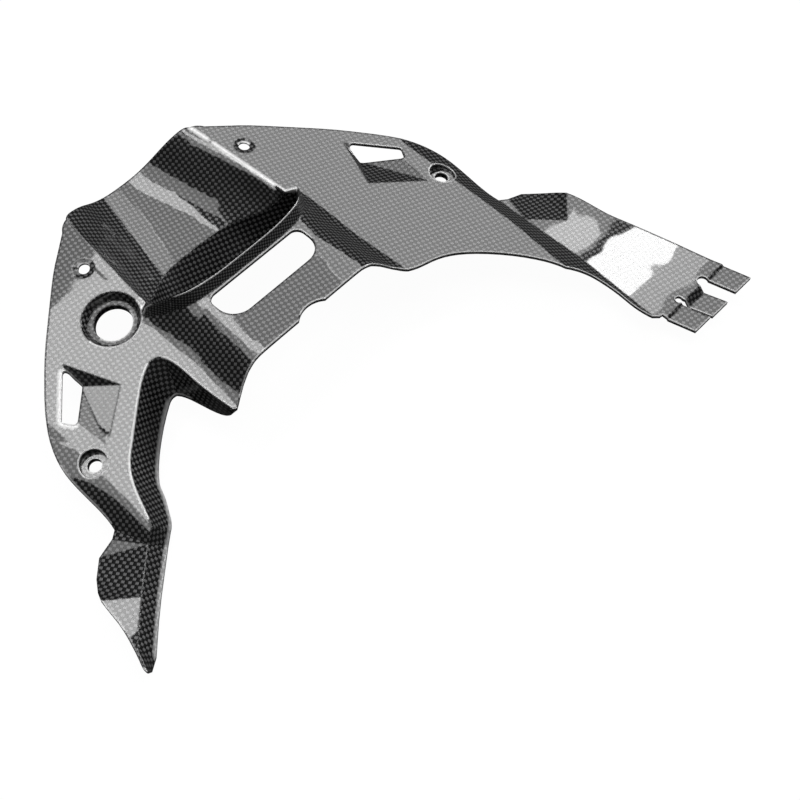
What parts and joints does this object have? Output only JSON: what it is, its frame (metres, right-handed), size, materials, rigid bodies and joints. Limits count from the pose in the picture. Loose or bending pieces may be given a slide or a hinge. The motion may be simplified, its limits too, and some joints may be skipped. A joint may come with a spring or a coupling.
{
  "type": "motorbike lower front fairing panel",
  "caption": "Thin moulded carbon-weave panel with a centre trough, raised slotted hood, recessed screw cups, wing slots, a stepped round port and a joggled tabbed tail.",
  "frame": {"origin": "middle of the bounding box in plan, at its lowest point", "axes": "+X across the part from the short arm to the tabbed tail, +Y towards the outer edge of the trough, +Z out of the painted face"},
  "size_m": [0.3658, 0.2776, 0.0517],
  "materials": {
    "carbon_gloss": "clear gloss lacquer over plain woven carbon"
  },
  "bodies": {
    "root": {"fairing_shell": "carbon_gloss"}
  },
  "joints": []
}
